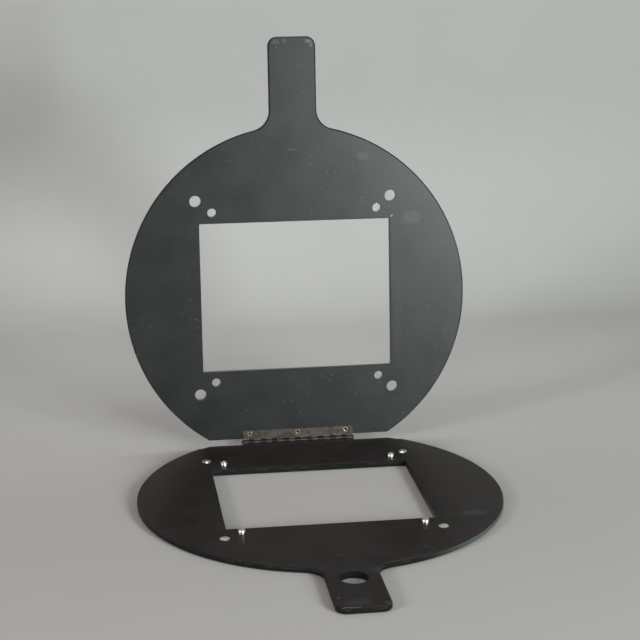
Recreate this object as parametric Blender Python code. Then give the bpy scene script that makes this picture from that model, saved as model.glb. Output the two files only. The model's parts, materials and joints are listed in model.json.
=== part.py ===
"""A hinged carrier that holds one sheet of film flat over a window, standing open like a book.

Two alike discs of sheet metal, each with a handle, are joined by a short butt hinge along a straight
edge. Every piece is drawn as it lies with the carrier shut: x runs along the hinge, the plates reach
out from the hinge towards -y, and the plane between them is z = 0. The upper half then turns about
the hinge line to the angle at which the carrier stands open.
"""

import math

import bmesh
import bpy

# Fits, in metres
clearance = 0.0003
seat_gap = 0.0002
overrun = 0.002
edge_break = 0.0003
rim_break = 0.0008

# Window, in metres: the picture area of a 4 by 5 inch sheet
window_width = 0.12065
window_depth = 0.0945
window_corner_radius = 0.0007
window_offset = 0.0005

# Plates, in metres
plate_thickness = 0.0040
face_gap = 0.0003
rim_margin = 0.02075
hinge_edge_width = 0.1153
hinge_edge_gap = 0.00055
hinge_corner_radius = 0.0022
handle_width = 0.0297
lower_handle_length = 0.0511
upper_handle_length = 0.0545
tip_corner_radius = 0.0058
neck_radius = 0.0125
finger_hole_radius = 0.00795
finger_hole_offset = 0.0148

# Locating studs, in metres, set out from the window's corners
stud_margin_x = 0.0014
stud_margin_y = 0.0143
stud_shift = -0.0007
stud_head_radius = 0.0030
stud_head_height = 0.0012
stud_head_rim = 0.0002
stud_shank_radius = 0.0016
stud_play = 0.0006
stud_stand = 0.000225
end_break = 0.00015

# Film pins, in metres, set along the window's long edges
film_pin_inset_x = 0.0081
film_pin_margin_y = 0.00685
film_pin_radius = 0.00235
film_pin_dome = 0.00235
film_pin_tip = 0.0029
film_pin_play = 0.00043
film_hole_nick = 0.0007

# Hinge, in metres
hinge_length = 0.0712
hinge_shift = -0.0009
knuckle_count = 19
leaf_thickness = 0.00045
leaf_grip = 0.0054
leaf_sunk = 0.0002
hinge_pin_radius = 0.0007
hinge_pin_head_radius = 0.0012
hinge_pin_head_height = 0.0005

# Hinge rivets, in metres
rivet_end_margin = 0.0046
rivet_edge_margin = 0.00235
rivet_shank_radius = 0.0011
rivet_end_relief = 0.0001
rivet_lip_radius = 0.0017
rivet_lip_height = 0.0001
rivet_bore_radius = 0.0008
rivet_bore_depth = 0.0018

# Angles, in degrees
open_angle = 96.0
smooth_limit = 35.0

# Smoothness, in segments
disc_segments = 66
hinge_corner_segments = 5
neck_segments = 16
tip_corner_segments = 9
window_corner_segments = 3
hole_segments = 28
finger_hole_segments = 40
stud_segments = 24
pin_segments = 20
rivet_segments = 16
barrel_segments = 18
bore_segments = 14
dome_segments = 5

# Finishes, as colour, roughness and metallic value
black_paint = ((0.030, 0.032, 0.034), 0.38, 0.0)
hinge_steel = ((0.36, 0.34, 0.31), 0.40, 1.0)
rivet_steel = ((0.55, 0.50, 0.42), 0.32, 1.0)
polished_steel = ((0.72, 0.72, 0.71), 0.16, 1.0)

# The two sides of the plane between the plates
LOWER = -1
UPPER = 1

# Levels outward from that plane
inner_level = face_gap / 2
outer_level = inner_level + plate_thickness
stand_level = outer_level + stud_stand
leaf_level = inner_level + leaf_sunk
rebate_level = leaf_level + leaf_thickness + seat_gap

# Hinge barrel, and the slots that its knuckles take in turn
knuckle_bore = hinge_pin_radius + clearance
knuckle_radius = knuckle_bore + leaf_thickness
knuckle_pitch = hinge_length / knuckle_count
hinge_left = hinge_shift - hinge_length / 2
hinge_right = hinge_shift + hinge_length / 2

# The disc goes round the studs, and its straight edge lies along the barrel
stud_x = window_width / 2 + stud_margin_x
stud_y = window_depth / 2 + stud_margin_y
film_pin_x = window_width / 2 - film_pin_inset_x
film_pin_y = window_depth / 2 + film_pin_margin_y
disc_radius = math.hypot(stud_x, stud_y) + rim_margin
hinge_edge_distance = knuckle_radius + hinge_edge_gap
disc_distance = hinge_edge_distance + math.sqrt(disc_radius ** 2 - (hinge_edge_width / 2) ** 2)
window_distance = disc_distance + window_offset
lower_tip = disc_distance + disc_radius + lower_handle_length
upper_tip = disc_distance + disc_radius + upper_handle_length
finger_hole_distance = disc_distance + disc_radius + finger_hole_offset
leaf_reach = hinge_edge_distance + leaf_grip

# Corners of the window, as (side, end), with the back ones next to the hinge
corners = {
    "back_left": (-1, -1),
    "back_right": (1, -1),
    "front_left": (-1, 1),
    "front_right": (1, 1),
}


# Places on the plates, as (x, distance from the hinge line)

def stud_place(corner):
    side, end = corners[corner]
    return stud_shift + side * stud_x, window_distance + end * stud_y


def film_pin_place(corner):
    side, end = corners[corner]
    return side * film_pin_x, window_distance + end * film_pin_y


def rivet_places():
    reach = hinge_length / 2 - rivet_end_margin
    distance = leaf_reach - rivet_edge_margin
    return [(hinge_shift + step * reach, distance) for step in (-1, 0, 1)]


# Outlines

def arc(centre_x, centre_y, radius, start, end, segments):
    """Points on an arc between two angles, both ends included."""
    angles = [start + (end - start) * i / segments for i in range(segments + 1)]
    return [(centre_x + radius * math.cos(a), centre_y + radius * math.sin(a)) for a in angles]


def circle(centre_x, centre_y, radius, segments):
    return arc(centre_x, centre_y, radius, 0, 2 * math.pi, segments)[:-1]


def nicked_circle(centre_x, centre_y, radius, nick, segments):
    """A round hole drawn out to a point on the side away from the hinge."""
    points = circle(centre_x, centre_y, radius, segments)
    points[segments // 4] = (centre_x, centre_y + radius + nick)
    return points


def mirrored(points):
    """The right-hand half of an outline, followed by its reflection in the middle line."""
    return points + [(-x, y) for x, y in reversed(points)]


def plate_outline(tip_distance, inset):
    """The rim of a plate, drawn in by an inset: hinge edge, disc, neck and handle."""
    radius = disc_radius - inset
    neck = neck_radius + inset
    corner = tip_corner_radius - inset
    side = handle_width / 2 - inset
    tip = tip_distance - inset
    hinge_corner_y = hinge_edge_distance + hinge_corner_radius
    rise = disc_distance - hinge_corner_y
    hinge_corner_x = math.sqrt((disc_radius - hinge_corner_radius) ** 2 - rise ** 2)
    hinge_angle = math.atan2(-rise, hinge_corner_x)
    neck_rise = math.sqrt((radius + neck) ** 2 - (side + neck) ** 2)
    neck_angle = math.atan2(neck_rise, side + neck)
    hinge_round = hinge_corner_radius - inset
    hinge_corner = arc(
        hinge_corner_x, hinge_corner_y, hinge_round, -math.pi / 2, hinge_angle, hinge_corner_segments
    )
    disc = arc(0, disc_distance, radius, hinge_angle, neck_angle, disc_segments)
    fillet_centre = (side + neck, disc_distance + neck_rise)
    fillet = arc(*fillet_centre, neck, neck_angle + math.pi, math.pi, neck_segments)
    tip_corner = arc(side - corner, tip - corner, corner, 0, math.pi / 2, tip_corner_segments)
    return mirrored(hinge_corner + disc[1:] + fillet[1:] + tip_corner)


def window_outline(growth):
    """The rim of the picture window, a rectangle with small round corners."""
    radius = window_corner_radius + growth
    x = window_width / 2 - window_corner_radius
    y = window_depth / 2 - window_corner_radius
    near_corner = arc(x, window_distance - y, radius, -math.pi / 2, 0, window_corner_segments)
    far_corner = arc(x, window_distance + y, radius, 0, math.pi / 2, window_corner_segments)
    return mirrored(near_corner + far_corner)


# Tools

def new_mesh(name, builder):
    bmesh.ops.recalc_face_normals(builder, faces=builder.faces)
    mesh = bpy.data.meshes.new(name)
    builder.to_mesh(mesh)
    builder.free()
    return mesh


def new_piece(name, builder, finish, parent):
    """One named solid with its own material, hung on its parent."""
    mesh = new_mesh(name, builder)
    mesh.shade_smooth()
    mesh.set_sharp_from_angle(angle=math.radians(smooth_limit))
    colour, roughness, metallic = finish
    material = bpy.data.materials.new(name + "_finish")
    material.use_nodes = True
    shader = material.node_tree.nodes["Principled BSDF"]
    shader.inputs["Base Color"].default_value = (*colour, 1)
    shader.inputs["Roughness"].default_value = roughness
    shader.inputs["Metallic"].default_value = metallic
    mesh.materials.append(material)
    piece = bpy.data.objects.new(name, mesh)
    bpy.context.scene.collection.objects.link(piece)
    piece.parent = parent
    return piece


def cut(piece, name, builder):
    """Takes a cutter, which hangs where the piece does, out of the piece."""
    cutter = bpy.data.objects.new(name, new_mesh(name, builder))
    bpy.context.scene.collection.objects.link(cutter)
    cutter.parent = piece.parent
    cutter.hide_render = True
    cutter.display_type = "WIRE"
    boolean = piece.modifiers.new(name, "BOOLEAN")
    boolean.operation = "DIFFERENCE"
    boolean.solver = "EXACT"
    boolean.object = cutter


def add_ring(builder, points, level):
    return [builder.verts.new((x, -distance, level)) for x, distance in points]


def bridge(builder, first, second):
    """Joins two rings of equal count by a band of faces."""
    for i in range(len(first)):
        builder.faces.new((first[i - 1], first[i], second[i], second[i - 1]))


def fill_face(builder, rings):
    """Closes a flat face bounded by an outer ring, with the other rings as its holes."""
    edges = [builder.edges.get((ring[i - 1], ring[i])) for ring in rings for i in range(len(ring))]
    bmesh.ops.triangle_fill(builder, use_beauty=True, use_dissolve=False, edges=edges)


def add_box(builder, low, high):
    verts = [
        builder.verts.new((x, y, z))
        for x in (low[0], high[0])
        for y in (low[1], high[1])
        for z in (low[2], high[2])
    ]
    bmesh.ops.convex_hull(builder, input=verts)


def add_rod(builder, place, radius, low, high, segments):
    points = circle(*place, radius, segments)
    rings = [add_ring(builder, points, low), add_ring(builder, points, high)]
    bridge(builder, *rings)
    for ring in rings:
        builder.faces.new(ring)


def turned(profile, segments, x, y):
    """A solid turned about an upright axis, from (radius, height) points that start and end on it."""
    builder = bmesh.new()
    rings = []
    for radius, height in profile:
        points = circle(x, y, radius, segments) if radius else [(x, y)]
        rings.append([builder.verts.new((*point, height)) for point in points])
    for first, second in zip(rings, rings[1:]):
        for i in range(segments):
            near = [first[i - 1], first[i]] if len(first) > 1 else first
            far = [second[i], second[i - 1]] if len(second) > 1 else second
            builder.faces.new(near + far)
    return builder


def dome(radius, base, height):
    """Profile points from the upright rim of a dome up to its top on the axis."""
    angles = [math.pi / 2 * i / dome_segments for i in range(dome_segments)]
    return [(radius * math.cos(a), base + height * math.sin(a)) for a in angles] + [(0, base + height)]


def lens(radius, base, height):
    """Profile points over a shallow rounded cap, from its rim up to its top on the axis."""
    shares = [1 - i / dome_segments for i in range(dome_segments)]
    return [(radius * s, base + height * (1 - s ** 2)) for s in shares] + [(0, base + height)]


# Plates

def sheet(side, tip_distance, holes):
    """A plate with its window: broken edges round both, and plain holes through it."""
    builder = bmesh.new()
    inner, outer = side * inner_level, side * outer_level
    outlines = [
        (plate_outline(tip_distance, rim_break), plate_outline(tip_distance, 0), side * rim_break),
        (window_outline(edge_break), window_outline(0), side * edge_break),
    ]
    inner_rings, outer_rings = [], []
    for at_face, between, step in outlines:
        rings = [
            add_ring(builder, at_face, inner),
            add_ring(builder, between, inner + step),
            add_ring(builder, between, outer - step),
            add_ring(builder, at_face, outer),
        ]
        for first, second in zip(rings, rings[1:]):
            bridge(builder, first, second)
        inner_rings.append(rings[0])
        outer_rings.append(rings[-1])
    for points in holes:
        rings = [add_ring(builder, points, inner), add_ring(builder, points, outer)]
        bridge(builder, *rings)
        inner_rings.append(rings[0])
        outer_rings.append(rings[1])
    fill_face(builder, inner_rings)
    fill_face(builder, outer_rings)
    return builder


def rivet_holes():
    return [circle(*place, rivet_shank_radius + clearance, rivet_segments) for place in rivet_places()]


def cut_rebate(plate, side):
    """The shallow step along the hinge edge in which a hinge leaf lies."""
    builder = bmesh.new()
    reach = disc_radius + overrun
    low, high = sorted((side * rebate_level, side * (inner_level - overrun)))
    add_box(builder, (-reach, -leaf_reach - clearance, low), (reach, overrun, high))
    cut(plate, plate.name + "_rebate", builder)


def lower_plate(parent):
    holes = rivet_holes()
    holes.append(circle(0, finger_hole_distance, finger_hole_radius, finger_hole_segments))
    for corner in corners:
        holes.append(circle(*stud_place(corner), stud_shank_radius + clearance, stud_segments))
        holes.append(circle(*film_pin_place(corner), film_pin_radius + clearance, pin_segments))
    plate = new_piece("lower_plate", sheet(LOWER, lower_tip, holes), black_paint, parent)
    cut_rebate(plate, LOWER)


def upper_plate(parent):
    """The lid: wide holes let it down over the studs and the film pins."""
    film_hole_radius = film_pin_radius + film_pin_play
    holes = rivet_holes()
    for corner in corners:
        holes.append(circle(*stud_place(corner), stud_head_radius + stud_play, hole_segments))
        nick = film_hole_nick if corner == "front_right" else 0
        holes.append(nicked_circle(*film_pin_place(corner), film_hole_radius, nick, hole_segments))
    plate = new_piece("upper_plate", sheet(UPPER, upper_tip, holes), black_paint, parent)
    cut_rebate(plate, UPPER)


# Hinge

def leaf_section():
    """A leaf and its barrel seen along the hinge line, as (distance, level) points."""
    leaf_back = leaf_level + leaf_thickness
    start = math.asin(leaf_back / knuckle_radius)
    end = 2 * math.pi + math.asin(leaf_level / knuckle_radius)
    barrel = arc(0, 0, knuckle_radius, start, end, barrel_segments)
    return [(leaf_reach, leaf_level), (leaf_reach, leaf_back)] + barrel


def hinge_leaf(name, side, first_notch, finish, parent):
    """A strip rolled round the pin along one edge, and notched there for the other leaf's knuckles."""
    builder = bmesh.new()
    sections = [leaf_section(), circle(0, 0, knuckle_bore, bore_segments)]
    ends = []
    for x in (hinge_left, hinge_right):
        rings = [
            [builder.verts.new((x, -distance, side * level)) for distance, level in points]
            for points in sections
        ]
        ends.append(rings)
    for first, second in zip(*ends):
        bridge(builder, first, second)
    for rings in ends:
        fill_face(builder, rings)
    leaf = new_piece(name, builder, finish, parent)
    cut_leaf(leaf, side, first_notch)


def cut_leaf(leaf, side, first_notch):
    """The notches between a leaf's knuckles, and its rivet holes."""
    builder = bmesh.new()
    room = knuckle_radius + clearance
    for slot in range(first_notch, knuckle_count, 2):
        start = hinge_left + slot * knuckle_pitch - clearance / 2
        end = start + knuckle_pitch + clearance
        add_box(builder, (start, -room, -room), (end, room, room))
    low, high = sorted((side * inner_level, side * (rebate_level + overrun)))
    for place in rivet_places():
        add_rod(builder, place, rivet_shank_radius + clearance, low, high, rivet_segments)
    cut(leaf, leaf.name + "_notches", builder)


def hinge_pin(parent):
    """The pin through all the knuckles, headed over at both ends."""
    base = hinge_length / 2 + clearance
    end = [(hinge_pin_radius, base)] + dome(hinge_pin_head_radius, base, hinge_pin_head_height)
    profile = [(radius, -height) for radius, height in reversed(end)] + end
    pin = new_piece("hinge_pin", turned(profile, bore_segments, 0, 0), hinge_steel, parent)
    pin.location.x = hinge_shift
    pin.rotation_euler.y = math.pi / 2


def hinge_rivet(name, side, place, finish, parent):
    """A tubular rivet: shank through plate and leaf, its hollow end rolled over on the leaf."""
    lip_base = leaf_level - seat_gap
    lip_top = lip_base - rivet_lip_height
    end_level = stand_level - rivet_end_relief
    profile = [
        (0, end_level),
        (rivet_shank_radius - end_break, end_level),
        (rivet_shank_radius, end_level - end_break),
        (rivet_shank_radius, lip_base),
        (rivet_lip_radius, lip_base),
        (rivet_lip_radius - rivet_lip_height, lip_top),
        (rivet_bore_radius + rivet_lip_height, lip_top),
        (rivet_bore_radius, lip_base),
        (rivet_bore_radius, lip_base + rivet_bore_depth),
        (0, lip_base + rivet_bore_depth),
    ]
    heights = [(radius, side * level) for radius, level in profile]
    x, distance = place
    new_piece(name, turned(heights, rivet_segments, x, -distance), finish, parent)


# Pins and studs of the lower plate

def film_pin(corner, parent):
    """A dowel set through the lower plate, whose domed tip keeps the edge of the film."""
    x, distance = film_pin_place(corner)
    profile = [
        (0, -outer_level),
        (film_pin_radius - edge_break, -outer_level),
        (film_pin_radius, edge_break - outer_level),
    ]
    profile += dome(film_pin_radius, film_pin_tip - film_pin_dome, film_pin_dome)
    pin = turned(profile, pin_segments, x, -distance)
    new_piece("film_pin_" + corner, pin, polished_steel, parent)


def locating_stud(corner, parent):
    """A stud set through the lower plate: a lens-shaped head, and a flat end to stand on."""
    x, distance = stud_place(corner)
    head_base = seat_gap - inner_level
    profile = [
        (0, -stand_level),
        (stud_shank_radius - end_break, -stand_level),
        (stud_shank_radius, end_break - stand_level),
        (stud_shank_radius, head_base),
        (stud_head_radius, head_base),
    ]
    profile += lens(stud_head_radius, head_base + stud_head_rim, stud_head_height - stud_head_rim)
    stud = turned(profile, stud_segments, x, -distance)
    new_piece("locating_stud_" + corner, stud, polished_steel, parent)


# Assembly

def clear_scene():
    for item in list(bpy.data.objects):
        bpy.data.objects.remove(item, do_unlink=True)


def new_empty(name, parent):
    empty = bpy.data.objects.new(name, None)
    bpy.context.scene.collection.objects.link(empty)
    empty.parent = parent
    return empty


def hinge_line_place():
    """Where the hinge line lies when the middle of the open carrier's footprint is the origin."""
    angle = math.radians(open_angle)
    back = outer_level * math.sin(angle) - (upper_tip - rim_break) * math.cos(angle)
    return 0, (lower_tip - back) / 2, stand_level


clear_scene()
base = new_empty("base", None)
base.location = hinge_line_place()
lid = new_empty("lid", base)
lid.rotation_euler.x = -math.radians(open_angle)

lower_plate(base)
upper_plate(lid)
hinge_leaf("hinge_lower_leaf", LOWER, 1, black_paint, base)
hinge_leaf("hinge_upper_leaf", UPPER, 0, hinge_steel, lid)
hinge_pin(base)
for number, rivet_place in enumerate(rivet_places(), 1):
    hinge_rivet(f"lower_hinge_rivet_{number}", LOWER, rivet_place, black_paint, base)
    hinge_rivet(f"upper_hinge_rivet_{number}", UPPER, rivet_place, rivet_steel, lid)
for corner_name in corners:
    film_pin(corner_name, base)
    locating_stud(corner_name, base)
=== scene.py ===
import json
import math

import bpy
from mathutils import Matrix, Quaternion, Vector


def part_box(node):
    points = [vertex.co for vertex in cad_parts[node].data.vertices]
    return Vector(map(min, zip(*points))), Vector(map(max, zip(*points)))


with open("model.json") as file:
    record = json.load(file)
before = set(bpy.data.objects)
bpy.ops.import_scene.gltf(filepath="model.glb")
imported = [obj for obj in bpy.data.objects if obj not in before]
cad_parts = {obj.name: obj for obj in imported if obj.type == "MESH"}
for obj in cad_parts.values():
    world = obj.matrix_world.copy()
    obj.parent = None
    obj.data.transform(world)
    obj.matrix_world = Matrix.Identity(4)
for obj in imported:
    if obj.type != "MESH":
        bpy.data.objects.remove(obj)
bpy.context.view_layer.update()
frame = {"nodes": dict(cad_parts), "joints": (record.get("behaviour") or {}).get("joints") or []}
nodes = frame["nodes"]


# The lower plate: a disc with a handle, blanked from 4 mm aluminium sheet and sprayed satin black.
# Its edges are broken by hand. Handling has worn the paint through along them, most of all at the tip.
# A paler line along them is painted highlight as well as wear, and the walls' colour is painted shade.

hinge = frame["joints"][0]
hinge_line = Vector(hinge["pos_m"])
open_angle = math.radians(-hinge["range_deg"][0])
lower_reach = Vector((0, -1, 0))
lower_level = Vector((0, 0, 1))

weld_distance = 0.00001
smooth_limit = math.radians(35)
flat_limit = math.radians(1)
rim_round = 0.00022
edge_round = 0.00005

lower_paint = (0.0150, 0.0118, 0.0114, 1)
lower_paint_light = (0.0205, 0.0165, 0.0160, 1)
paint_thickness = 0.00004
paint_blotch_size = 0.022
paint_blotch_range = (0.35, 0.65)
peel_size = 0.0007
peel_height = 0.16
rough_spread = 0.04
bare_aluminium = (0.60, 0.60, 0.59, 1)
bare_rough = 0.36

edge_slopes = (0.72, 0.80)
face_slopes = (0.995, 0.97)
edge_ragged_size = 0.0025
edge_stretch_size = 0.030
edge_stretch_share = 0.55
edge_bare_range = (0.98, 1.06)
# A pale grey for the shear line on the walls and for the painted highlight along the broken edges.
edge_grey_and_highlight = (0.24, 0.25, 0.245, 1)
edge_highlight_size = 0.009
edge_highlight_range = (0.36, 0.60)

# A fixed dark teal for the cut walls in place of the paint: painted shade and reflection.
wall_shade_and_reflection = (0.0058, 0.0080, 0.0078, 1)
wall_slopes = (0.45, 0.15)
shear_level = -0.0016
shear_width = 0.0003
shear_share = 0.14
shear_break_size = 0.007
shear_break_range = (0.45, 0.65)
# A lighter grey-green on one stretch of the right front rim's wall: a painted reflection of the lit floor.
wall_reflection_grey = (0.070, 0.090, 0.083, 1)
wall_reflection_place = (0.082, 0.152, -0.002)
wall_reflection_reach = 0.060
wall_reflection_core = 0.3 * wall_reflection_reach
wall_reflection_grain = 0.003

dust_grey = (0.30, 0.30, 0.29, 1)
speck_spacing = 0.0052
speck_size = 0.00017
speck_smallest = 0.35
speck_share_range = (-0.04, 0.09)
speck_paleness = 0.6
speck_height = 0.8
hairline_size = 0.006
hairline_width = 0.006
hairline_stretch = (0.18, 1, 1)
hairline_patch_size = 0.012
hairline_patch_range = (0.52, 0.62)
hairline_share = 0.08
spot_depth = 0.0012
spot_fade = (1.0, 0.55)
worn_spot_ragged = 1.6
worn_spot_grain = 900.0
smudge_blue = (0.17, 0.19, 0.20, 1)
smudge_share = 0.16
smudge_ragged = 1.2
smudge_grain = 260.0
smudge_rough = 0.08


def add(tree, kind, inputs, **settings):
    """Adds a node, and fills each named or numbered input with a value or links it to a socket."""
    made = tree.nodes.new(kind)
    for name, value in settings.items():
        setattr(made, name, value)
    for name, value in inputs.items():
        if isinstance(value, bpy.types.NodeSocket):
            tree.links.new(value, made.inputs[name])
        else:
            made.inputs[name].default_value = value
    return made


def math_of(tree, operation, first, second=0.0):
    """A Math node's result."""
    return add(tree, "ShaderNodeMath", {0: first, 1: second}, operation=operation).outputs[0]


def product(tree, first, second):
    return math_of(tree, "MULTIPLY", first, second)


def vector_math(tree, operation, first, second=(0, 0, 0)):
    """A Vector Math node, whose first output is a vector and second a value."""
    return add(tree, "ShaderNodeVectorMath", {0: first, 1: second}, operation=operation)


def rise(tree, value, low, high):
    """0 below low, 1 above high and smooth between them. It falls where low is above high."""
    inputs = {"Value": value, "From Min": low, "From Max": high}
    return add(tree, "ShaderNodeMapRange", inputs, interpolation_type="SMOOTHSTEP").outputs[0]


def noise(tree, place, size, detail=2.0):
    """Soft noise round 0.5 whose blotches are about one size, in metres."""
    inputs = {"Vector": place, "Scale": 1 / size, "Detail": detail}
    return add(tree, "ShaderNodeTexNoise", inputs).outputs[0]


def colour_mix(tree, share, first, second):
    """The first colour where the share is 0 and the second where it is 1."""
    inputs = {0: share, 6: first, 7: second}
    return add(tree, "ShaderNodeMix", inputs, data_type="RGBA").outputs[2]


def value_mix(tree, share, first, second):
    inputs = {0: share, 2: first, 3: second}
    return add(tree, "ShaderNodeMix", inputs).outputs[0]


def new_effect(name, inputs, outputs):
    """An empty shader node group with named sockets: the tree, its inputs and its output node."""
    tree = bpy.data.node_groups.new(name, "ShaderNodeTree")
    for socket, kind in inputs.items():
        tree.interface.new_socket(socket, in_out="INPUT", socket_type="NodeSocket" + kind)
    for socket in outputs:
        tree.interface.new_socket(socket, in_out="OUTPUT", socket_type="NodeSocketFloat")
    given = tree.nodes.new("NodeGroupInput").outputs
    return tree, given, tree.nodes.new("NodeGroupOutput").inputs


def place_effect(tree, effect, inputs):
    """Puts a group in a material with its own values, and returns its outputs."""
    return add(tree, "ShaderNodeGroup", inputs, node_tree=effect).outputs


def slope_of(tree, normal, face):
    """1 where the surface lies along the plate's flat face, and 0 on its walls."""
    return math_of(tree, "ABSOLUTE", vector_math(tree, "DOT_PRODUCT", normal, face).outputs[1])


def edge_rub_effect():
    """Where the paint is worn off the broken edges: Face is the direction that the flat face looks."""
    inputs = {"Place": "Vector", "Normal": "Vector", "Face": "Vector", "Wear": "Float"}
    tree, given, out = new_effect("edge rub", inputs, ["Edge", "Bare"])
    slope = slope_of(tree, given["Normal"], given["Face"])
    edge = product(tree, rise(tree, slope, *edge_slopes), rise(tree, slope, *face_slopes))
    ragged = noise(tree, given["Place"], edge_ragged_size, 4.0)
    stretches = noise(tree, given["Place"], edge_stretch_size, 1.0)
    worn = math_of(tree, "ADD", value_mix(tree, edge_stretch_share, ragged, stretches), given["Wear"])
    tree.links.new(edge, out["Edge"])
    tree.links.new(product(tree, edge, rise(tree, worn, *edge_bare_range)), out["Bare"])
    return tree


def spot_effect():
    """A ragged spot round a centre, with a reach of its own along each axis."""
    vectors = {"Place": "Vector", "Centre": "Vector", "Reach": "Vector"}
    tree, given, out = new_effect("spot", {**vectors, "Ragged": "Float", "Grain": "Float"}, ["Spot"])
    offset = vector_math(tree, "SUBTRACT", given["Place"], given["Centre"]).outputs[0]
    share = vector_math(tree, "DIVIDE", offset, given["Reach"]).outputs[0]
    away = vector_math(tree, "LENGTH", share).outputs[1]
    inputs = {"Vector": given["Place"], "Scale": given["Grain"], "Detail": 4.0}
    grain = add(tree, "ShaderNodeTexNoise", inputs).outputs[0]
    shaken = product(tree, math_of(tree, "SUBTRACT", grain, 0.5), given["Ragged"])
    tree.links.new(rise(tree, math_of(tree, "ADD", away, shaken), *spot_fade), out["Spot"])
    return tree


def specks_effect():
    """Small specks, one at most in each cell of a loose grid on the sheet."""
    inputs = {"Place": "Vector", "Spacing": "Float", "Size": "Float", "Share": "Float"}
    tree, given, out = new_effect("specks", inputs, ["Specks"])
    scale = math_of(tree, "DIVIDE", 1.0, given["Spacing"])
    inputs = {"Vector": given["Place"], "Scale": scale}
    cells = add(tree, "ShaderNodeTexVoronoi", inputs, voronoi_dimensions="2D").outputs
    away = product(tree, cells["Distance"], given["Spacing"])
    chance = add(tree, "ShaderNodeSeparateColor", {0: cells["Color"]}).outputs
    size = product(tree, given["Size"], math_of(tree, "ADD", speck_smallest, chance[1]))
    there = math_of(tree, "LESS_THAN", chance[0], given["Share"])
    near = math_of(tree, "LESS_THAN", away, size)
    tree.links.new(product(tree, there, near), out["Specks"])
    return tree


def hairlines_effect():
    """Fine scratches that run roughly along x and come and go."""
    inputs = {"Place": "Vector", "Size": "Float", "Width": "Float"}
    tree, given, out = new_effect("hairlines", inputs, ["Lines"])
    drawn = vector_math(tree, "MULTIPLY", given["Place"], hairline_stretch).outputs[0]
    scale = math_of(tree, "DIVIDE", 1.0, given["Size"])
    field = add(tree, "ShaderNodeTexNoise", {"Vector": drawn, "Scale": scale, "Detail": 1.0}).outputs[0]
    from_middle = math_of(tree, "ABSOLUTE", math_of(tree, "SUBTRACT", field, 0.5))
    line = rise(tree, from_middle, given["Width"], 0.0)
    patches = rise(tree, noise(tree, given["Place"], hairline_patch_size), *hairline_patch_range)
    tree.links.new(product(tree, line, patches), out["Lines"])
    return tree


edge_rub = edge_rub_effect()
spot = spot_effect()
specks = specks_effect()
hairlines = hairlines_effect()


def new_finish(name):
    """A new material: its tree, its shader and its texture coordinates."""
    material = bpy.data.materials.new(name)
    material.use_nodes = True
    tree = material.node_tree
    return material, tree, tree.nodes["Principled BSDF"], tree.nodes.new("ShaderNodeTexCoord").outputs


def sheet_place(tree, coordinates, reach, level):
    """Where a point is on a plate: x, distance from the hinge line and level above it."""
    offset = vector_math(tree, "SUBTRACT", coordinates["Object"], hinge_line).outputs[0]
    distance = vector_math(tree, "DOT_PRODUCT", offset, reach).outputs[1]
    height = vector_math(tree, "DOT_PRODUCT", offset, level).outputs[1]
    across = add(tree, "ShaderNodeSeparateXYZ", {0: offset}).outputs[0]
    return add(tree, "ShaderNodeCombineXYZ", {0: across, 1: distance, 2: height}).outputs[0]


def wall_paint(tree, place, normal, level, paint):
    """The given paint on the faces. The cut walls get a dark teal instead, as painted shade and
    reflection, with a pale line where the shear broke through. One stretch of the right front rim is
    painted a lighter grey-green, as a painted reflection of the lit floor."""
    wall = rise(tree, slope_of(tree, normal, level), *wall_slopes)
    height = add(tree, "ShaderNodeSeparateXYZ", {0: place}).outputs[2]
    from_line = math_of(tree, "ABSOLUTE", math_of(tree, "SUBTRACT", height, shear_level))
    broken = rise(tree, noise(tree, place, shear_break_size), *shear_break_range)
    line = product(tree, rise(tree, from_line, shear_width, 0.0), broken)
    # The lighter stretch on the right front rim is a painted reflection of the lit floor.
    away = vector_math(tree, "DISTANCE", place, wall_reflection_place).outputs[1]
    mottled = value_mix(tree, 0.5, 1.0, noise(tree, place, wall_reflection_grain, 3.0))
    wear_and_sheen = product(tree, rise(tree, away, wall_reflection_reach, wall_reflection_core), mottled)
    # The walls' teal is painted shade and reflection.
    wall_tone = colour_mix(tree, product(tree, line, shear_share), wall_shade_and_reflection, edge_grey_and_highlight)
    wall_tone = colour_mix(tree, wear_and_sheen, wall_tone, wall_reflection_grey)
    return colour_mix(tree, wall, paint, wall_tone)


def all_spots(tree, place, centres, ragged, grain):
    """The union of several spots, each given as x, distance, reach in x and in distance, and strength."""
    found = None
    for x, distance, reach_x, reach_distance, strength in centres:
        reach = (reach_x, reach_distance, spot_depth)
        inputs = {"Place": place, "Centre": (x, distance, 0), "Reach": reach}
        inputs.update({"Ragged": ragged, "Grain": grain})
        one = product(tree, place_effect(tree, spot, inputs)["Spot"], strength)
        found = one if found is None else math_of(tree, "MAXIMUM", found, one)
    return found


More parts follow.
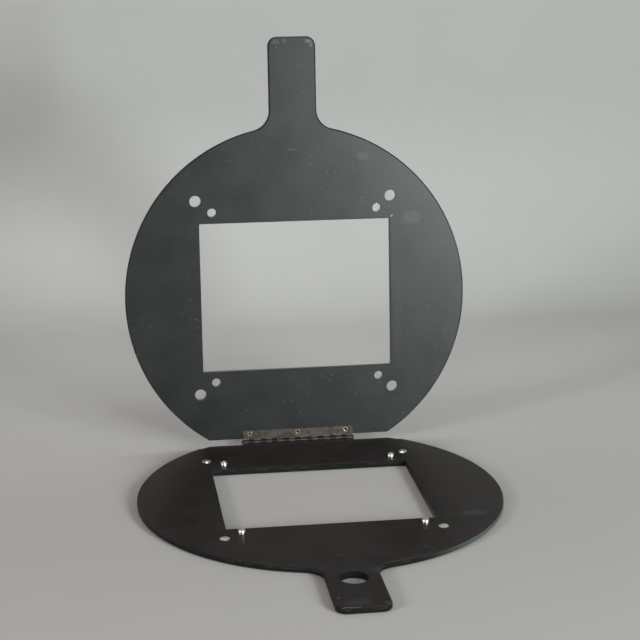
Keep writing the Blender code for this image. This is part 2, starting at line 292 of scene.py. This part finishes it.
def painted_sheet(
    name, reach, level, dark, light, satin, index, wear, edge_highlight_share, worn_spots, smudges, speck_shares,
):
    """Satin black paint on aluminium, with worn edges and spots, smudges and specks. The walls carry
    painted shade and reflection, and the broken edges a painted highlight.
    """
    material, tree, shader, coordinates = new_finish(name)
    place = sheet_place(tree, coordinates, reach, level)
    rub_inputs = {"Place": place, "Normal": coordinates["Normal"], "Face": level, "Wear": wear}
    wear_and_sheen = place_effect(tree, edge_rub, rub_inputs)
    worn = all_spots(tree, place, worn_spots, worn_spot_ragged, worn_spot_grain)
    bare = math_of(tree, "MAXIMUM", wear_and_sheen["Bare"], worn)
    blotch = noise(tree, place, paint_blotch_size, 5.0)
    peel = noise(tree, place, peel_size)
    across = add(tree, "ShaderNodeSeparateXYZ", {0: place}).outputs[0]
    speck_inputs = {"Place": place, "Spacing": speck_spacing, "Size": speck_size}
    speck_inputs["Share"] = value_mix(tree, rise(tree, across, *speck_share_range), *speck_shares)
    speck = place_effect(tree, specks, speck_inputs)["Specks"]
    line_inputs = {"Place": place, "Size": hairline_size, "Width": hairline_width}
    line = place_effect(tree, hairlines, line_inputs)["Lines"]
    smudge = all_spots(tree, place, smudges, smudge_ragged, smudge_grain)

    paint = colour_mix(tree, rise(tree, blotch, *paint_blotch_range), dark, light)
    paint = wall_paint(tree, place, coordinates["Normal"], level, paint)
    # A paler grey in stretches along the broken edges: painted highlight, with some wear.
    edge_wear_and_highlight = rise(tree, noise(tree, place, edge_highlight_size, 3.0), *edge_highlight_range)
    edge_wear_and_highlight = product(tree, product(tree, wear_and_sheen["Edge"], edge_wear_and_highlight), edge_highlight_share)
    paint = colour_mix(tree, edge_wear_and_highlight, paint, edge_grey_and_highlight)
    paint = colour_mix(tree, product(tree, smudge, smudge_share), paint, smudge_blue)
    paint = colour_mix(tree, product(tree, line, hairline_share), paint, dust_grey)
    paint = colour_mix(tree, product(tree, speck, speck_paleness), paint, dust_grey)
    tree.links.new(colour_mix(tree, bare, paint, bare_aluminium), shader.inputs["Base Color"])
    tree.links.new(bare, shader.inputs["Metallic"])

    rough = value_mix(tree, blotch, satin - rough_spread, satin + rough_spread)
    rough = value_mix(tree, smudge, rough, satin + smudge_rough)
    tree.links.new(value_mix(tree, bare, rough, bare_rough), shader.inputs["Roughness"])
    height = math_of(tree, "SUBTRACT", product(tree, peel, peel_height), bare)
    height = math_of(tree, "ADD", height, product(tree, speck, speck_height))
    bump = add(tree, "ShaderNodeBump", {"Height": height, "Distance": paint_thickness, "Strength": 1.0})
    tree.links.new(bump.outputs[0], shader.inputs["Normal"])
    shader.inputs["IOR"].default_value = index
    return material


def smooth_tree():
    """Welds a faceted mesh and shades it smooth, with creases kept where the angle is wide."""
    tree = bpy.data.node_groups.new("smooth surface", "GeometryNodeTree")
    tree.interface.new_socket("Mesh", in_out="INPUT", socket_type="NodeSocketGeometry")
    tree.interface.new_socket("Mesh", in_out="OUTPUT", socket_type="NodeSocketGeometry")
    given = tree.nodes.new("NodeGroupInput").outputs[0]
    whole = add(tree, "GeometryNodeMergeByDistance", {"Geometry": given, "Distance": weld_distance})
    angle = tree.nodes.new("GeometryNodeInputMeshEdgeAngle").outputs[0]
    creased = math_of(tree, "GREATER_THAN", angle, smooth_limit)
    inputs = {"Mesh": whole.outputs[0], "Remove Custom": True}
    inputs.update({"Edge Sharpness": creased, "Face Sharpness": False})
    smooth = add(tree, "GeometryNodeSetMeshNormal", inputs, mode="SHARPNESS")
    tree.links.new(smooth.outputs[0], tree.nodes.new("NodeGroupOutput").inputs[0])
    return tree


smooth_surface = smooth_tree()


def finish_node(name, material, rounding, steps=2):
    """Gives a node its material, smooth shading and small rounds along its creases."""
    piece = nodes[name]
    piece.data.materials.clear()
    piece.data.materials.append(material)
    smooth = piece.modifiers.new("smooth surface", "NODES")
    smooth.node_group = smooth_surface
    flat = piece.modifiers.new("flat faces", "DECIMATE")
    flat.decimate_type = "DISSOLVE"
    flat.angle_limit = flat_limit
    edges = piece.modifiers.new("rounded edges", "BEVEL")
    edges.width = rounding
    edges.segments = steps
    edges.limit_method = "ANGLE"
    edges.angle_limit = smooth_limit
    edges.harden_normals = True


lower_worn_spots = [
    (-0.0105, 0.2515, 0.0040, 0.0004, 0.08),
    (-0.0050, 0.2518, 0.0045, 0.0003, 0.06),
    (0.0125, 0.2500, 0.0020, 0.0006, 0.06),
    (-0.0120, 0.2400, 0.0008, 0.0005, 0.20),
    (0.0118, 0.2480, 0.0022, 0.0008, 0.10),
    (0.0460, 0.1812, 0.0018, 0.0005, 0.15),
    (0.0490, 0.1844, 0.0012, 0.0004, 0.15),
]
lower_smudges = [
    (-0.0020, 0.2460, 0.0090, 0.0050, 0.5),
    (0.0146, 0.2076, 0.0060, 0.0060, 0.5),
    (0.0837, 0.1372, 0.0100, 0.0050, 0.7),
]
lower_finish = painted_sheet(
    "lower plate paint", lower_reach, lower_level, lower_paint, lower_paint_light,
    satin=0.42, index=1.20, wear=0.30, edge_highlight_share=0.40,
    worn_spots=lower_worn_spots, smudges=lower_smudges, speck_shares=(0.10, 0.16),
)
finish_node("lower_plate", lower_finish, rim_round, 3)


# The upper plate, or lid: a like blank with a longer handle, no finger hole, and wide holes that let it
# down over the studs and film pins. Its paint is cooler and greyer, with more dust and old smudges.

upper_reach = Vector((0, -math.cos(open_angle), math.sin(open_angle)))
upper_level = Vector((0, -math.sin(open_angle), -math.cos(open_angle)))
upper_paint = (0.0052, 0.0060, 0.0070, 1)
upper_paint_light = (0.0080, 0.0092, 0.0102, 1)
upper_worn_spots = [
    (-0.0100, 0.2525, 0.0026, 0.0018, 0.050),
    (-0.0045, 0.2530, 0.0014, 0.0020, 0.045),
    (0.0105, 0.2528, 0.0022, 0.0015, 0.110),
    (0.0122, 0.2505, 0.0010, 0.0022, 0.080),
    (0.0618, 0.1425, 0.0007, 0.0007, 0.30),
]
upper_smudges = [
    (0.0746, 0.1411, 0.0075, 0.0050, 0.7),
    (0.0443, 0.1807, 0.0050, 0.0035, 0.6),
    (0.0650, 0.0900, 0.0040, 0.0500, 0.15),
]
upper_finish = painted_sheet(
    "upper plate paint", upper_reach, upper_level, upper_paint, upper_paint_light,
    satin=0.34, index=1.43, wear=0.26, edge_highlight_share=0.35,
    worn_spots=upper_worn_spots, smudges=upper_smudges, speck_shares=(0.16, 0.55),
)
finish_node("upper_plate", upper_finish, rim_round, 3)


# The hinge leaves are steel strip rolled round a pin. The upper one is bare and has gone grey-brown.
# The lower one was sprayed with its plate, and only its knuckles have worn back to metal.

strip_grain_size = 0.0006
strip_grain_depth = 0.00001
strip_grain_share = 0.35
strip_draw = (0.06, 1, 1)
strip_blotch_size = 0.006
strip_oxide_range = (0.40, 0.66)
strip_rough = (0.42, 0.60)
hinge_steel = (0.092, 0.080, 0.070, 1)
hinge_steel_dark = (0.046, 0.039, 0.033, 1)
# A near black for the barrel round the pin: painted shade, with some dirt.
barrel_shade_and_dirt = (0.020, 0.017, 0.014, 1)
barrel_shade_radii = (0.0024, 0.0014)
barrel_shade_share = 0.75
knuckle_radius = 0.00145
knuckle_bare_range = (0.56, 0.72)
sprayed_rough = (0.40, 0.50)
sprayed_wear = 0.25


def strip_effect():
    """Rolled steel strip: a grain drawn out along x, and blotches of dull oxide."""
    inputs = {"Place": "Vector"}
    tree, given, out = new_effect("rolled strip", inputs, ["Grain", "Oxide"])
    drawn = vector_math(tree, "MULTIPLY", given["Place"], strip_draw).outputs[0]
    tree.links.new(noise(tree, drawn, strip_grain_size, 3.0), out["Grain"])
    blotch = noise(tree, given["Place"], strip_blotch_size, 4.0)
    tree.links.new(rise(tree, blotch, *strip_oxide_range), out["Oxide"])
    return tree


rolled_strip = strip_effect()


def from_pin(tree, place):
    """Distance from the hinge line."""
    across = vector_math(tree, "MULTIPLY", place, (0, 1, 1)).outputs[0]
    return vector_math(tree, "LENGTH", across).outputs[1]


def bare_strip():
    """Dull bare steel of the upper leaf, painted darker round the pin as the barrel's shade."""
    material, tree, shader, coordinates = new_finish("hinge steel")
    place = sheet_place(tree, coordinates, upper_reach, upper_level)
    strip = place_effect(tree, rolled_strip, {"Place": place})
    colour = colour_mix(tree, strip["Oxide"], hinge_steel, hinge_steel_dark)
    colour = colour_mix(tree, product(tree, strip["Grain"], strip_grain_share), colour, hinge_steel_dark)
    # Painted shade over the barrel round the pin, with some dirt.
    shade_and_dirt = product(tree, rise(tree, from_pin(tree, place), *barrel_shade_radii), barrel_shade_share)
    tree.links.new(colour_mix(tree, shade_and_dirt, colour, barrel_shade_and_dirt), shader.inputs["Base Color"])
    shader.inputs["Metallic"].default_value = 1.0
    tree.links.new(value_mix(tree, strip["Oxide"], *strip_rough), shader.inputs["Roughness"])
    bump = add(tree, "ShaderNodeBump", {"Height": strip["Grain"], "Distance": strip_grain_depth})
    tree.links.new(bump.outputs[0], shader.inputs["Normal"])
    return material


def sprayed_strip(name):
    """The lower leaf's paint, worn to steel on the knuckles where the other leaf rubs."""
    material, tree, shader, coordinates = new_finish(name)
    place = sheet_place(tree, coordinates, lower_reach, lower_level)
    strip = place_effect(tree, rolled_strip, {"Place": place})
    rub_inputs = {"Place": place, "Normal": coordinates["Normal"]}
    rub_inputs.update({"Face": lower_level, "Wear": sprayed_wear})
    wear_and_sheen = place_effect(tree, edge_rub, rub_inputs)
    near_pin = rise(tree, from_pin(tree, place), knuckle_radius * 1.3, knuckle_radius)
    knuckles = product(tree, near_pin, rise(tree, strip["Grain"], *knuckle_bare_range))
    bare = math_of(tree, "MAXIMUM", wear_and_sheen["Bare"], knuckles)
    paint = colour_mix(tree, strip["Oxide"], lower_paint, lower_paint_light)
    tree.links.new(colour_mix(tree, bare, paint, hinge_steel_dark), shader.inputs["Base Color"])
    tree.links.new(bare, shader.inputs["Metallic"])
    tree.links.new(value_mix(tree, bare, *sprayed_rough), shader.inputs["Roughness"])
    bump = add(tree, "ShaderNodeBump", {"Height": strip["Grain"], "Distance": strip_grain_depth})
    tree.links.new(bump.outputs[0], shader.inputs["Normal"])
    return material


hinge_finish = bare_strip()
sprayed_finish = sprayed_strip("sprayed steel")
finish_node("hinge_upper_leaf", hinge_finish, edge_round)
finish_node("hinge_lower_leaf", sprayed_finish, edge_round)
finish_node("hinge_pin", hinge_finish, edge_round)


# The hinge rivets are tubular: plain on the outside, and rolled over on the leaf into a small ring.
# The upper ones are bright, with painted shade in the bore. The lower ones were sprayed over with the
# plate.

rivet_steel = (0.42, 0.36, 0.27, 1)
# A dark colour for the rivets' bore, which is painted shade, and for dirt blotches.
rivet_shade_and_dirt = (0.035, 0.028, 0.020, 1)
rivet_bore_radius = 0.0008
rivet_pitch = 0.00018
rivet_ring_depth = 0.000004
rivet_blotch_size = 0.0012
rivet_blotch_range = (0.58, 0.72)
rivet_rough = (0.24, 0.75)


def turning_effect():
    """Radius from a turned piece's axis, and the fine rings that the tool left."""
    inputs = {"Place": "Vector", "Centre": "Vector", "Pitch": "Float"}
    tree, given, out = new_effect("turning marks", inputs, ["Radius", "Rings"])
    offset = vector_math(tree, "SUBTRACT", given["Place"], given["Centre"]).outputs[0]
    flat = vector_math(tree, "MULTIPLY", offset, (1, 1, 0)).outputs[0]
    radius = vector_math(tree, "LENGTH", flat).outputs[1]
    turns = product(tree, math_of(tree, "DIVIDE", radius, given["Pitch"]), 2 * math.pi)
    rings = product(tree, math_of(tree, "ADD", math_of(tree, "SINE", turns), 1.0), 0.5)
    tree.links.new(radius, out["Radius"])
    tree.links.new(rings, out["Rings"])
    return tree


turning_marks = turning_effect()


def plan_centre(name, reach, level):
    """The middle of a node in its plate's coordinates."""
    low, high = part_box(name)
    offset = (low + high) / 2 - hinge_line
    return offset.x, offset.dot(reach), offset.dot(level)


def rivet_metal(name):
    """Bright rivet steel, painted dark in the bore as its shade, with dirt blotches."""
    material, tree, shader, coordinates = new_finish(name + " metal")
    place = sheet_place(tree, coordinates, upper_reach, upper_level)
    centre = plan_centre(name, upper_reach, upper_level)
    turned = place_effect(tree, turning_marks, {"Place": place, "Centre": centre, "Pitch": rivet_pitch})
    # The bore is painted dark as its shade, and dirt blotches are added.
    shade_and_dirt = rise(tree, turned["Radius"], rivet_bore_radius * 1.15, rivet_bore_radius * 0.95)
    blotch = noise(tree, place, rivet_blotch_size, 3.0)
    shade_and_dirt = math_of(tree, "MAXIMUM", shade_and_dirt, rise(tree, blotch, *rivet_blotch_range))
    tree.links.new(colour_mix(tree, shade_and_dirt, rivet_steel, rivet_shade_and_dirt), shader.inputs["Base Color"])
    shader.inputs["Metallic"].default_value = 1.0
    tree.links.new(value_mix(tree, shade_and_dirt, *rivet_rough), shader.inputs["Roughness"])
    bump = add(tree, "ShaderNodeBump", {"Height": turned["Rings"], "Distance": rivet_ring_depth})
    tree.links.new(bump.outputs[0], shader.inputs["Normal"])
    return material


for number in (1, 2, 3):
    upper_rivet = f"upper_hinge_rivet_{number}"
    finish_node(upper_rivet, rivet_metal(upper_rivet), edge_round)
    finish_node(f"lower_hinge_rivet_{number}", sprayed_finish, edge_round)


# The film pins and the locating studs are polished steel, turned with a rounded end and pressed or
# riveted through the lower plate. The pins keep the film's edge, and the studs centre the lid.
# Their heads are painted darker towards the edge as shade, and the studs' steel is brightened
# as a painted highlight.

pin_steel = (0.72, 0.71, 0.69, 1)
pin_steel_dark = (0.34, 0.32, 0.29, 1)
# The studs' steel is brighter than the pins' as a painted highlight.
stud_highlight_steel = (0.96, 0.93, 0.89, 1)
stud_steel_dark = (0.62, 0.58, 0.53, 1)
# A darker steel painted towards the heads' edges: painted shade.
rim_shade = (0.42, 0.39, 0.355, 1)
rim_shade_start = 0.0022
stud_shade_radius = 0.00305
pin_shade_radius = 0.0040
pin_pitch = 0.00012
pin_ring_depth = 0.0000015
pin_fleck_size = 0.0010
pin_fleck_range = (0.52, 0.70)
pin_rough = (0.28, 0.40)


def polished_metal(name, bright, dark, shade_radius):
    """Polished steel with fine turning rings and dull flecks, painted darker towards the edge as shade."""
    material, tree, shader, coordinates = new_finish(name + " metal")
    place = sheet_place(tree, coordinates, lower_reach, lower_level)
    centre = plan_centre(name, lower_reach, lower_level)
    turned = place_effect(tree, turning_marks, {"Place": place, "Centre": centre, "Pitch": pin_pitch})
    dull = rise(tree, noise(tree, place, pin_fleck_size, 4.0), *pin_fleck_range)
    colour = colour_mix(tree, dull, bright, dark)
    # Painted shade towards the edge, which leaves the middle as a painted highlight.
    rim = rise(tree, turned["Radius"], rim_shade_start, shade_radius)
    tree.links.new(colour_mix(tree, rim, colour, rim_shade), shader.inputs["Base Color"])
    shader.inputs["Metallic"].default_value = 1.0
    tree.links.new(value_mix(tree, dull, *pin_rough), shader.inputs["Roughness"])
    bump = add(tree, "ShaderNodeBump", {"Height": turned["Rings"], "Distance": pin_ring_depth})
    tree.links.new(bump.outputs[0], shader.inputs["Normal"])
    return material


for end in ("back", "front"):
    for side in ("left", "right"):
        film_pin = f"film_pin_{end}_{side}"
        locating_stud = f"locating_stud_{end}_{side}"
        pin_finish = polished_metal(film_pin, pin_steel, pin_steel_dark, pin_shade_radius)
        stud_finish = polished_metal(locating_stud, stud_highlight_steel, stud_steel_dark, stud_shade_radius)
        finish_node(film_pin, pin_finish, edge_round)
        finish_node(locating_stud, stud_finish, edge_round)


# The table is pale grey paper. Beyond the reach of the opened lid the same paper curves up into a
# backdrop, which is seen from its front only, so that it hides nothing from the back. Its grey is painted
# darker with depth, as painted shade.

table_radius = 14.0
table_segments = 64
sweep_start = 0.385
sweep_radius = 0.16
sweep_height = 2.5
sweep_reach = 4.0
sweep_lift = 0.0003
sweep_segments = 32
table_grey = (0.435, 0.420, 0.408, 1)
# A darker grey for the paper towards the back: painted shade.
paper_depth_shade = (0.322, 0.326, 0.320, 1)
shade_depths = (0.05, 0.45)
mottle_size = 0.05
mottle_share = 0.12
paper_rough = 0.85
paper_gloss = 0.2


def paper(name, one_sided):
    """Pale matt paper with a faint mottle, painted darker with depth as shade, which can be clear from the
    back.
    """
    material, tree, shader, coordinates = new_finish(name)
    place = coordinates["Object"]
    depth = add(tree, "ShaderNodeSeparateXYZ", {0: place}).outputs[1]
    # Painted shade: the paper darkens with depth.
    depth_shade = rise(tree, depth, *shade_depths)
    mottle = value_mix(tree, mottle_share, depth_shade, noise(tree, place, mottle_size, 3.0))
    tree.links.new(colour_mix(tree, mottle, table_grey, paper_depth_shade), shader.inputs["Base Color"])
    shader.inputs["Roughness"].default_value = paper_rough
    shader.inputs["Specular IOR Level"].default_value = paper_gloss
    if one_sided:
        behind = tree.nodes.new("ShaderNodeNewGeometry").outputs["Backfacing"]
        clear = tree.nodes.new("ShaderNodeBsdfTransparent").outputs[0]
        either = add(tree, "ShaderNodeMixShader", {0: behind, 1: shader.outputs[0], 2: clear})
        tree.links.new(either.outputs[0], tree.nodes["Material Output"].inputs["Surface"])
    return material


def stage_sheet(name, points, faces, material):
    mesh = bpy.data.meshes.new(name)
    mesh.from_pydata(points, [], faces)
    mesh.shade_smooth()
    mesh.materials.append(material)
    sheet = bpy.data.objects.new(name, mesh)
    bpy.context.scene.collection.objects.link(sheet)


def table_top():
    turns = [2 * math.pi * i / table_segments for i in range(table_segments)]
    points = [(table_radius * math.cos(a), table_radius * math.sin(a), 0) for a in turns]
    stage_sheet("table", points, [range(table_segments)], paper("table paper", False))


def backdrop():
    turns = [math.pi / 2 * i / sweep_segments for i in range(sweep_segments + 1)]
    profile = [
        (sweep_start + sweep_radius * math.sin(a), sweep_lift + sweep_radius * (1 - math.cos(a)))
        for a in turns
    ]
    profile.append((sweep_start + sweep_radius, sweep_height))
    points = [(side * sweep_reach, y, z) for y, z in profile for side in (-1, 1)]
    faces = [(2 * i, 2 * i + 1, 2 * i + 3, 2 * i + 2) for i in range(len(profile) - 1)]
    stage_sheet("backdrop", points, faces, paper("backdrop paper", True))


table_top()
backdrop()


# Three soft lamps stand in front of the carrier, one to the left of the camera and two to the right. The
# lid's gloss is the lower right one. A lamp above lights the paper behind, and the sky is even and pale.

aim = Vector((0, 0.09, 0.11))
lamp_distance = 1.7
lamp_side = 0.30


def area_lamp(name, place, ahead, width, height, power, colour, spread=180):
    """A rectangular lamp that shines ahead within a spread, in degrees."""
    lamp = bpy.data.lights.new(name, "AREA")
    lamp.shape = "RECTANGLE"
    lamp.size, lamp.size_y = width, height
    lamp.energy = power
    lamp.color = colour
    lamp.spread = math.radians(spread)
    lamp_object = bpy.data.objects.new(name, lamp)
    bpy.context.scene.collection.objects.link(lamp_object)
    lamp_object.location = place
    lamp_object.rotation_mode = "QUATERNION"
    lamp_object.rotation_quaternion = ahead.to_track_quat("-Z", "Y")


def soft_box(name, azimuth, elevation, width, height, power, colour):
    """A lamp that faces the carrier, at an azimuth counted to the right of the camera's side."""
    turn, lift = math.radians(azimuth), math.radians(elevation)
    back = Vector((math.sin(turn) * math.cos(lift), -math.cos(turn) * math.cos(lift), math.sin(lift)))
    area_lamp(name, aim + back * lamp_distance, -back, width, height, power, colour)


soft_box("right lamp", 38, 21, lamp_side, lamp_side, power=9.0, colour=(0.96, 1.0, 0.98))
soft_box("left lamp", -55, 15.6, lamp_side, lamp_side, power=13.0, colour=(1.0, 0.95, 0.93))
soft_box("right soft box", 26, 9.2, width=0.34, height=0.38, power=25.0, colour=(0.92, 1.0, 0.97))

background_lamp_place = Vector((0, 0.40, 1.2))
background_lamp_ahead = Vector((0, 0.02, -1.2))
area_lamp(
    "background lamp", background_lamp_place, background_lamp_ahead,
    width=0.60, height=0.20, power=0.5, colour=(1, 1, 0.98), spread=40,
)

sky_level = 0.34
sky_colour = (1.0, 0.975, 0.965, 1)
world = bpy.data.worlds.new("pale sky")
world.use_nodes = True
sky = world.node_tree.nodes["Background"].inputs
sky["Color"].default_value = sky_colour
sky["Strength"].default_value = sky_level
bpy.context.scene.world = world


# The camera, a long lens that looks down a little from the left of the middle, as in the photograph.
# It stands a little over a metre from the hinge, whose middle its place is counted from.

camera_place = hinge_line + Vector((-0.13863, -1.04893, 0.37892))
camera_azimuth = math.radians(8.258)
camera_elevation = math.radians(15.790)
camera_roll = math.radians(-0.132)
camera_lens = 98.16
film_side = 36.0

camera_data = bpy.data.cameras.new("camera")
camera_data.lens = camera_lens
camera_data.sensor_width = film_side
camera = bpy.data.objects.new("camera", camera_data)
bpy.context.scene.collection.objects.link(camera)
camera.location = camera_place
ahead = Vector((
    math.sin(camera_azimuth) * math.cos(camera_elevation),
    math.cos(camera_azimuth) * math.cos(camera_elevation),
    -math.sin(camera_elevation),
))
camera.rotation_mode = "QUATERNION"
camera.rotation_quaternion = ahead.to_track_quat("-Z", "Y") @ Quaternion((0, 0, 1), camera_roll)
bpy.context.scene.camera = camera
bpy.context.scene.view_settings.view_transform = "Standard"
